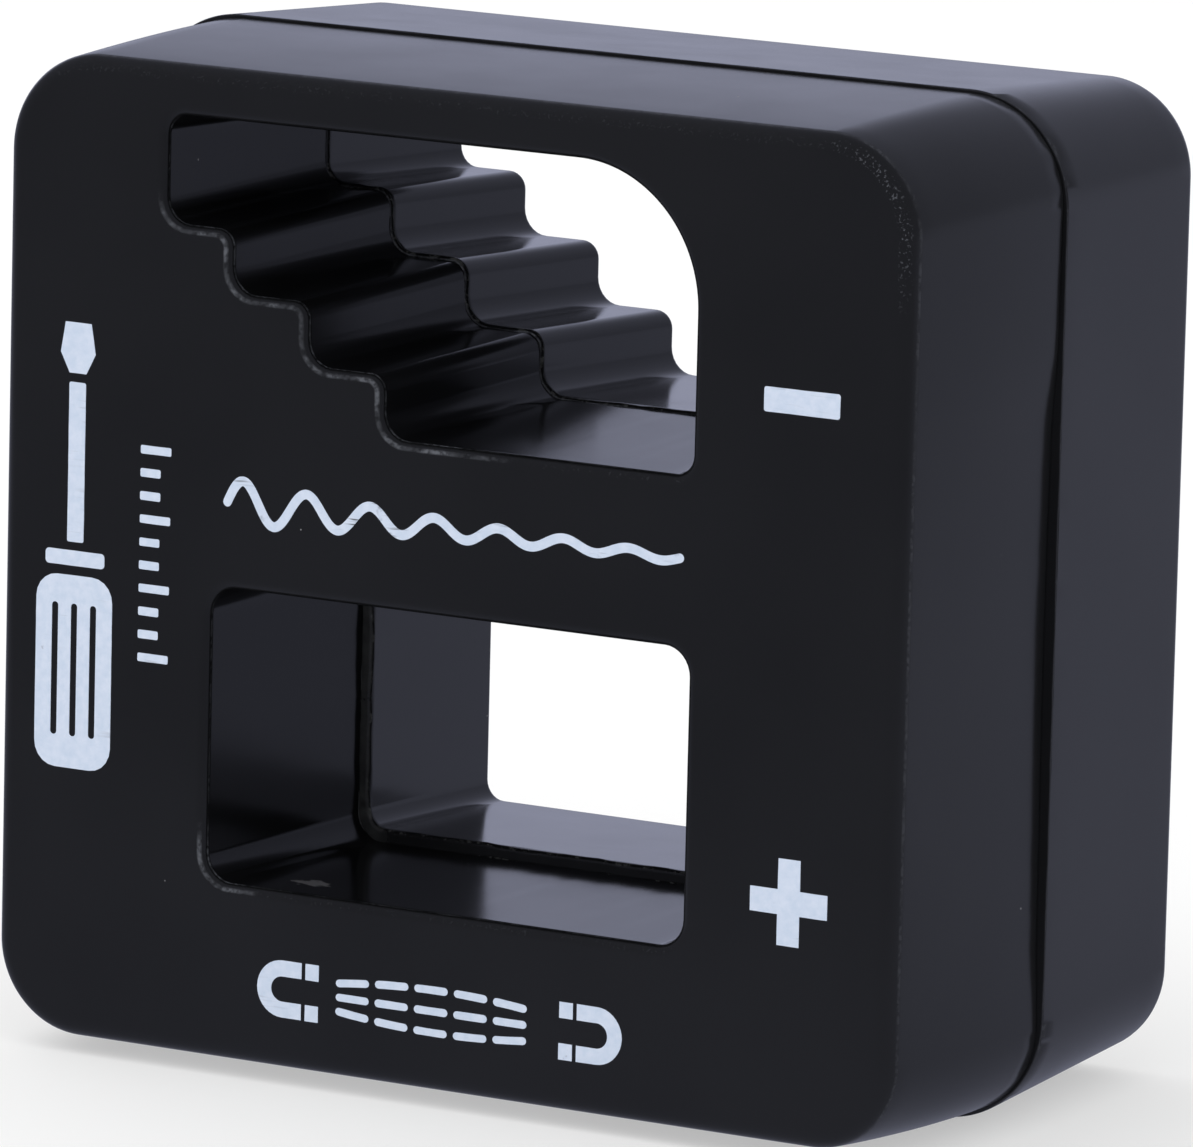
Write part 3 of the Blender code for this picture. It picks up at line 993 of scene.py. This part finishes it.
def edge_lines(n, turned, strength):
    """The two fine light lines where a rounded edge runs into its face and into its wall: painted
    highlights, partly edge wear.

    turned is 1 on the face and 0 on the walls. The line at the wall is faint where strength is 0.
    """
    at_face = n.product(n.band(turned, *FACE_LINE), strength)
    along_wall = n.math("MAXIMUM", n.product(strength, WALL_LINE_SHARE), WALL_LINE_LEAST)
    return n.math("MAXIMUM", at_face, n.product(n.band(turned, *WALL_LINE), along_wall))


def edge_wear_and_highlights(n):
    """Worn edges with painted highlights: light lines along the stair's mouth, stronger where an
    edge faces up or right, and wear specks on the top edge and right corner.
    """
    facing_x, facing_y, facing_z = n.facing()
    turned = n.math("ABSOLUTE", facing_y)
    square = n.math("SUBTRACT", 1.0, n.product(turned, turned))
    sideways = n.math("SQRT", n.math("MAXIMUM", square, 0.0001))
    up = n.math("DIVIDE", facing_z, sideways)
    up_or_right = n.math("MAXIMUM", up, n.math("DIVIDE", facing_x, sideways))
    x, _, z = n.parts(n.place)
    stair_top = UPPER_FLOOR + STAIR_COUNT * STAIR_RISE
    stair = n.product(
        n.math("LESS_THAN", facing_y, 0.0),
        n.math("GREATER_THAN", x, UPPER_LEFT - STAIR_LINE_MARGIN),
        n.remap(x, *STAIR_LINE_FADE_X, 1.0, 0.0),
        n.math("GREATER_THAN", z, UPPER_FLOOR - STAIR_LINE_MARGIN),
        n.remap(z, *(stair_top + edge for edge in STAIR_LINE_FADE_Z), 1.0, 0.0),
    )
    low_corner = n.remap(n.spot(LOW_CORNER_PLACE, LOW_CORNER_REACH), 0.0, 0.7)
    strength = n.math("MAXIMUM", n.product(stair, STAIR_LINE_STRENGTH), low_corner)
    # painted highlight: light lines on rounded edges, brighter where an edge faces up or right,
    # partly edge wear
    lines = n.product(
        edge_lines(n, turned, strength),
        n.remap(up_or_right, 0.2, 0.8, 0.1, 1.0),
        n.remap(n.noise(BEAD_SIZE, 4.0, roughness=0.6), 0.38, 0.62, 0.1, 0.95),
        n.remap(n.noise(PATCH_SIZE, 2.0), 0.38, 0.58, 0.35, 1.0),
    )
    handled_corner = n.spot(HIGH_CORNER_PLACE, HIGH_CORNER_REACH)
    specks = n.product(
        n.remap(n.noise(WEAR_SPECK_SIZE, 2.0), 0.58, 0.72),
        n.band(turned, *WEAR_SPECK_BAND),
        n.math("MAXIMUM", handled_corner, n.remap(up, 0.5, 0.9, 0.0, 0.12)),
        WEAR_SPECK_STRENGTH,
    )
    return n.math("MAXIMUM", lines, specks)


def around_windows(n):
    """1 within a millimetre or so of the windows, seen from the front, else 0."""
    x, _, z = n.parts(n.place)
    return n.product(
        n.math("GREATER_THAN", x, UPPER_LEFT - WINDOW_MARGIN),
        n.math("LESS_THAN", x, LOWER_RIGHT + WINDOW_MARGIN),
        n.math("GREATER_THAN", z, LOWER_FLOOR - WINDOW_MARGIN),
        n.math("LESS_THAN", z, UPPER_TOP + WINDOW_TOP_MARGIN),
    )


def inside_windows(n):
    """1 on the walls of the windows, else 0."""
    return n.product(around_windows(n), n.math("LESS_THAN", n.math("ABSOLUTE", n.facing()[1]), 0.5))


def seam_marks(n):
    """The ragged grey ledge at the lower window's left, and painted highlights on the lips' rounded
    edges by the seam.
    """
    x, y, z = n.parts(n.place)
    off_seam = n.math("ABSOLUTE", n.math("SUBTRACT", y, PARTING_Y))
    turned = n.math("ABSOLUTE", n.facing()[1])
    near = around_windows(n)
    ledge = n.product(
        near,
        n.math("LESS_THAN", off_seam, LEDGE_REACH),
        n.math("LESS_THAN", z, LOWER_TOP + WINDOW_TOP_MARGIN),
        n.remap(x, *(LOWER_LEFT + edge for edge in LEDGE_FADE_X), 1.0, 0.08),
        n.remap(turned, 0.35, 0.8),
        n.remap(n.noise(LEDGE_RAG_SIZE, 5.0, roughness=0.6), 0.36, 0.64, 0.2, 1.0),
    )
    # painted highlight: light patches on the lips' rounded edges by the seam
    lip_highlights = n.product(
        near,
        n.math("LESS_THAN", off_seam, LIP_REACH),
        n.band(turned, *FLECK_BAND),
        n.remap(n.noise(FLECK_SIZE, 4.0, roughness=0.65), 0.53, 0.70),
    )
    return ledge, lip_highlights


def pale_floor_patch(n):
    """1 on the small ragged pale patch on the lower window's floor, else 0."""
    rag = n.noise(FLOOR_PATCH_RAG_SIZE, 5.0, (1.8, 1, 1))
    ragged = n.product(n.math("SUBTRACT", rag, 0.5), FLOOR_PATCH_RAG_DEPTH)
    spot = n.spot(FLOOR_PATCH_PLACE, FLOOR_PATCH_REACH)
    floor_patch = n.remap(n.math("ADD", spot, ragged), 0.55, 0.75)
    return n.product(floor_patch, n.remap(spot, 0.0, 0.3))


def black_plastic(name, base, wall_specular):
    """Moulded black ABS: satin outside, glossy in the windows, with painted shade inside them, worn
    edges with painted highlights, painted highlights on the seam lips, a pale floor patch and a
    little dust.
    """
    n = Nodes(name)
    skin = n.noise(SKIN_SIZE, 4.0)
    smear = n.noise(SMEAR_SIZE, 3.0, (1.0, 1.0, 0.6))
    hairlines = n.noise(HAIRLINE_SIZE, 2.0, (30, 30, 1))
    window = inside_windows(n)
    rubbed_and_highlit = edge_wear_and_highlights(n)
    dust = n.product(
        n.specks(DUST_PITCH, DUST_RADIUS),
        n.remap(n.noise(DUST_AREA_SIZE, 1.0), 0.58, 0.61),
    )
    floor_patch = pale_floor_patch(n)
    ledge, lip_highlights = seam_marks(n)
    lighter = tuple(part * MOTTLE_GAIN for part in base)
    colour = n.mix(n.remap(n.noise(MOTTLE_SIZE, 2.0), 0.35, 0.65), base, lighter)
    for mark, strength, mark_colour in (
        # painted shade: darker base colour on the window walls
        (window, WINDOW_PAINTED_SHADE, BLACK),
        # worn edges with painted highlights
        (rubbed_and_highlit, 1.0, WORN_AND_HIGHLIGHT_COLOUR),
        (dust, DUST_STRENGTH, DUST_COLOUR),
        # a small pale patch on the lower window's floor
        (floor_patch, FLOOR_PATCH_STRENGTH, FLOOR_PATCH_COLOUR),
        (ledge, 1.0, LEDGE_COLOUR),
        # painted highlights on the seam lips
        (lip_highlights, FLECK_STRENGTH, LIP_HIGHLIGHT_COLOUR),
    ):
        colour = n.mix(n.product(mark, strength), colour, mark_colour)
    n.link(colour, n.shader.inputs["Base Color"])
    rough = n.remap(
        smear, 0.3, 0.7, OUTSIDE_ROUGHNESS - SMEAR_SHINIER, OUTSIDE_ROUGHNESS + SMEAR_DULLER,
    )
    rough = n.math("SUBTRACT", rough, n.product(window, OUTSIDE_ROUGHNESS - WINDOW_ROUGHNESS))
    for mark, added in (
        (rubbed_and_highlit, WORN_AND_HIGHLIGHT_ROUGHNESS),
        (dust, DUST_ROUGHNESS),
        (floor_patch, FLOOR_PATCH_ROUGHNESS),
        (ledge, LEDGE_ROUGHNESS),
        (lip_highlights, FLECK_ROUGHNESS),
    ):
        rough = n.math("ADD", rough, n.product(mark, added))
    n.link(rough, n.shader.inputs["Roughness"])
    n.shader.inputs["IOR"].default_value = PLASTIC_IOR
    inside = n.remap(n.facing()[0], 0.5, 0.8, WINDOW_FLOOR_SPECULAR, wall_specular)
    lowered = n.product(window, n.math("SUBTRACT", OUTSIDE_SPECULAR, inside))
    n.link(n.math("SUBTRACT", OUTSIDE_SPECULAR, lowered), n.shader.inputs["Specular IOR Level"])
    n.bump((
        (skin, SKIN_DEPTH, 0.3),
        (hairlines, HAIRLINE_DEPTH, 0.1),
        (smear, SMEAR_DEPTH, 0.12),
    ))
    return n.material


def ink_material(name, worn):
    """Pad-printed bluish white ink: a little thin in places, scratched where worn is above 0."""
    n = Nodes(name)
    body = n.noise(0.35 * MM, 4.0)
    thin = n.noise(1.1 * MM, 5.0)
    scratch = n.noise(0.16 * MM, 2.0, (14, 1, 1))
    area = n.noise(4.5 * MM, 2.0)
    white = n.mix(n.remap(body, 0.3, 0.7), *INK_WHITES)
    gaps = n.remap(thin, 0.70 - 0.05 * worn, 0.76, 0.0, 0.8)
    scratched = n.product(n.remap(scratch, 0.60, 0.68), n.remap(area, 0.50, 0.62, 0.0, worn))
    bare = n.math("MAXIMUM", gaps, scratched)
    n.link(n.mix(bare, white, INK_GAP_COLOUR), n.shader.inputs["Base Color"])
    n.shader.inputs["Roughness"].default_value = 0.45
    n.bump(((body, 0.005 * MM, 0.3),))
    return n.material


def ferrite_material(name):
    """Sintered ferrite: charcoal grey, granular, ground with faint parallel lines."""
    n = Nodes(name)
    grain = n.noise(0.25 * MM, 6.0, roughness=0.7)
    grinding = n.noise(0.12 * MM, 2.0, (1, 40, 1))
    n.link(n.mix(n.remap(grain, 0.3, 0.7), *FERRITE_COLOURS), n.shader.inputs["Base Color"])
    n.link(n.remap(grinding, 0.3, 0.7, 0.5, 0.7), n.shader.inputs["Roughness"])
    n.bump(((grain, 0.03 * MM, 0.4), (grinding, 0.01 * MM, 0.3)))
    return n.material


def keeper_material(name):
    """Cold-rolled steel strip: bright, brushed along its length, with a few dull spots."""
    n = Nodes(name)
    brushing = n.noise(0.07 * MM, 3.0, (1, 1, 60))
    spots = n.noise(3.0 * MM, 4.0)
    dulled = n.mix(n.remap(spots, 0.5, 0.7, 0.0, 0.7), *STEEL_COLOURS)
    n.link(dulled, n.shader.inputs["Base Color"])
    n.shader.inputs["Metallic"].default_value = 0.95
    n.link(n.remap(brushing, 0.3, 0.7, 0.28, 0.5), n.shader.inputs["Roughness"])
    n.bump(((brushing, 0.004 * MM, 0.4),))
    return n.material


def dress_cad_nodes():
    """The magnets and keepers keep their CAD shapes and get their own materials."""
    for name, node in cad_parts.items():
        if name.startswith("magnet_"):
            made = ferrite_material(name + "_ferrite")
        elif name.startswith("keeper_"):
            made = keeper_material(name + "_steel")
        else:
            continue
        node.data.materials.clear()
        node.data.materials.append(made)


# ================================================================ studio

CAMERA_YAW = math.radians(30.144)
CAMERA_PITCH = math.radians(10.191)
CAMERA_ROLL = math.radians(1.392)
CAMERA_DISTANCE = 587.35 * MM
CAMERA_RIGHT = 0.484 * MM
CAMERA_UP = -0.653 * MM
SENSOR_WIDTH = 36.0
LENS = 362.48
FLOOR_RADIUS = 8.0
CAD_BOX_CENTRE = (Vector(CAD_BOX[0]) + Vector(CAD_BOX[1])) / 2

REFLECTED_TINT = (0.86, 0.90, 1.18)
FRONT_FLOOR_GLOW = 0.17
BACK_FLOOR_GLOW = 0.33
ROOM_GLOW = 0.17
WALL_DIRECTION = (-0.494, 0.851, 0.10)
WALL_SPREAD = (16, 42)
WALL_GLOW = 0.65
WALL_FADE_START = 0.22
WALL_FADE_END = 0.48
WALL_FADE_LEAST = 0.2
BEHIND_DIRECTION = (0.2, 0.85, 0.45)
BEHIND_SPREAD = (10, 60)
BEHIND_GLOW = 0.30
AMBIENT = 0.97
PAPER_SHADE = 0.50
PAPER_GLOW = 0.46
PAPER_ROUGHNESS = 0.9
PAPER_SPECULAR = 0.1
FRONT_FLOOR_Y = -0.10
BACK_FLOOR_Y = 0.06
KEY_PLACE = (-0.45, -0.25, 0.95)
KEY_SIZE = (1.0, 1.0)
KEY_POWER = 3.0


def add_camera():
    """A long lens from the front right, a little above the block and slightly rolled."""
    back = Vector((
        math.sin(CAMERA_YAW) * math.cos(CAMERA_PITCH),
        -math.cos(CAMERA_YAW) * math.cos(CAMERA_PITCH),
        math.sin(CAMERA_PITCH),
    ))
    level_right = Vector((0, 0, 1)).cross(back).normalized()
    level_up = back.cross(level_right)
    right = math.cos(CAMERA_ROLL) * level_right + math.sin(CAMERA_ROLL) * level_up
    up = back.cross(right)
    target = Vector(((REAR_LOW[0] + REAR_HIGH[0]) / 2, PARTING_Y, (REAR_LOW[2] + REAR_HIGH[2]) / 2))
    data = bpy.data.cameras.new("studio_camera")
    data.sensor_width = SENSOR_WIDTH
    data.lens = LENS
    data.clip_start = 0.01
    data.clip_end = 100.0
    camera = bpy.data.objects.new("studio_camera", data)
    turn = Matrix((right, up, back)).transposed().to_4x4()
    place = target + CAMERA_DISTANCE * back + CAMERA_RIGHT * right + CAMERA_UP * up
    camera.matrix_world = Matrix.Translation(place) @ turn
    bpy.context.scene.collection.objects.link(camera)
    bpy.context.scene.camera = camera


def glossy_rays(n):
    return n.add("ShaderNodeLightPath").outputs["Is Glossy Ray"]


def tinted(n, brightness):
    """A colour of the studio's cool tint at a brightness output."""
    node = n.add("ShaderNodeMix", data_type="RGBA", blend_type="MULTIPLY")
    node.inputs["Factor"].default_value = 1.0
    first, second = [s for s in node.inputs if s.type == "RGBA"]
    n.link(brightness, first)
    n.feed(REFLECTED_TINT, second)
    return next(s for s in node.outputs if s.type == "RGBA")


def add_floor():
    """Pale backlit paper, so shadows stay faint. Reflections see it dimmer, most so in front."""
    builder = bmesh.new()
    bmesh.ops.create_circle(builder, cap_ends=True, segments=96, radius=FLOOR_RADIUS)
    floor = new_object("studio_floor", builder)
    n = Nodes("floor_paper")
    n.shader.inputs["Base Color"].default_value = (PAPER_SHADE, PAPER_SHADE, PAPER_SHADE, 1.0)
    n.shader.inputs["Emission Color"].default_value = (1.0, 1.0, 1.0, 1.0)
    n.shader.inputs["Emission Strength"].default_value = PAPER_GLOW
    n.shader.inputs["Roughness"].default_value = PAPER_ROUGHNESS
    n.shader.inputs["Specular IOR Level"].default_value = PAPER_SPECULAR
    _, y, _ = n.parts(n.place)
    reflected = n.remap(y, FRONT_FLOOR_Y, BACK_FLOOR_Y, FRONT_FLOOR_GLOW, BACK_FLOOR_GLOW)
    glow = n.add("ShaderNodeEmission")
    n.link(tinted(n, reflected), glow.inputs["Color"])
    blend_shader = n.add("ShaderNodeMixShader")
    n.link(glossy_rays(n), blend_shader.inputs[0])
    n.link(n.shader.outputs["BSDF"], blend_shader.inputs[1])
    n.link(glow.outputs["Emission"], blend_shader.inputs[2])
    n.link(blend_shader.outputs["Shader"], n.tree.nodes["Material Output"].inputs["Surface"])
    floor.data.materials.append(n.material)


def add_softbox(name, place, size, power):
    """Soft light aimed at the block. Reflections don't see it, so edges show no bright lines."""
    data = bpy.data.lights.new(name, "AREA")
    data.shape = "RECTANGLE"
    data.size, data.size_y = size
    data.energy = power
    light = bpy.data.objects.new(name, data)
    light.location = place
    light.visible_glossy = False
    aim = (CAD_BOX_CENTRE - Vector(place)).to_track_quat("-Z", "Y")
    light.rotation_euler = aim.to_euler()
    bpy.context.scene.collection.objects.link(light)


class WorldNodes(Nodes):
    """The same helper for the world's node tree, whose place is the direction looked in."""

    def __init__(self, world):
        world.use_nodes = True
        self.tree = world.node_tree
        self.shader = self.tree.nodes["Background"]
        self.place = self.add("ShaderNodeTexCoord").outputs["Generated"]

    def lobe(self, direction, inner, outer):
        """1 within inner degrees of a direction, falling to 0 at outer degrees."""
        node = self.add("ShaderNodeVectorMath", operation="DOT_PRODUCT")
        self.link(self.place, node.inputs[0])
        node.inputs[1].default_value = Vector(direction).normalized()
        edge, core = math.cos(math.radians(outer)), math.cos(math.radians(inner))
        return self.remap(node.outputs["Value"], edge, core)


def add_world():
    """Even white light for surfaces. Reflections see a dim room and a bright wall behind left."""
    world = bpy.data.worlds.new("studio_world")
    bpy.context.scene.world = world
    n = WorldNodes(world)
    height = n.parts(n.place)[2]
    fading_up = n.remap(height, WALL_FADE_START, WALL_FADE_END, 1.0, WALL_FADE_LEAST)
    wall = n.product(n.lobe(WALL_DIRECTION, *WALL_SPREAD), fading_up, WALL_GLOW - ROOM_GLOW)
    behind = n.product(n.lobe(BEHIND_DIRECTION, *BEHIND_SPREAD), BEHIND_GLOW - ROOM_GLOW)
    room = n.math("ADD", n.math("MAXIMUM", wall, behind), ROOM_GLOW)
    colour = n.mix(glossy_rays(n), (AMBIENT, AMBIENT, AMBIENT), tinted(n, room))
    n.link(colour, n.shader.inputs["Color"])


def add_studio():
    add_world()
    add_floor()
    add_softbox("key_softbox", KEY_PLACE, KEY_SIZE, KEY_POWER)
    add_camera()
    bpy.context.scene.view_settings.view_transform = "Standard"


def main():
    front = front_shell()
    rear = rear_shell()
    for body, node, slot_name, base, wall_specular in (
        (front, "front_shell", "front_plastic", FRONT_BASE, FRONT_WALL_SPECULAR),
        (rear, "rear_shell", "rear_plastic", REAR_BASE, REAR_WALL_SPECULAR),
    ):
        smooth(body)
        body.data.materials.clear()
        body.data.materials.append(black_plastic(body.name + "_abs", base, wall_specular))
        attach(body, BODY)
        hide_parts(node)
    ink("minus_print", minus_mark(), 0.2)
    ink("plus_print", plus_mark(), 0.3)
    ink("fading_wave_print", fading_wave(), 0.9)
    ink("magnet_field_print", field_between_magnets(), 0.2)
    cut_flutes(ink("screwdriver_print", screwdriver_sign(), 0.2))
    ink("tick_scale_print", tick_row(), 0.3)
    dress_cad_nodes()
    add_studio()


main()
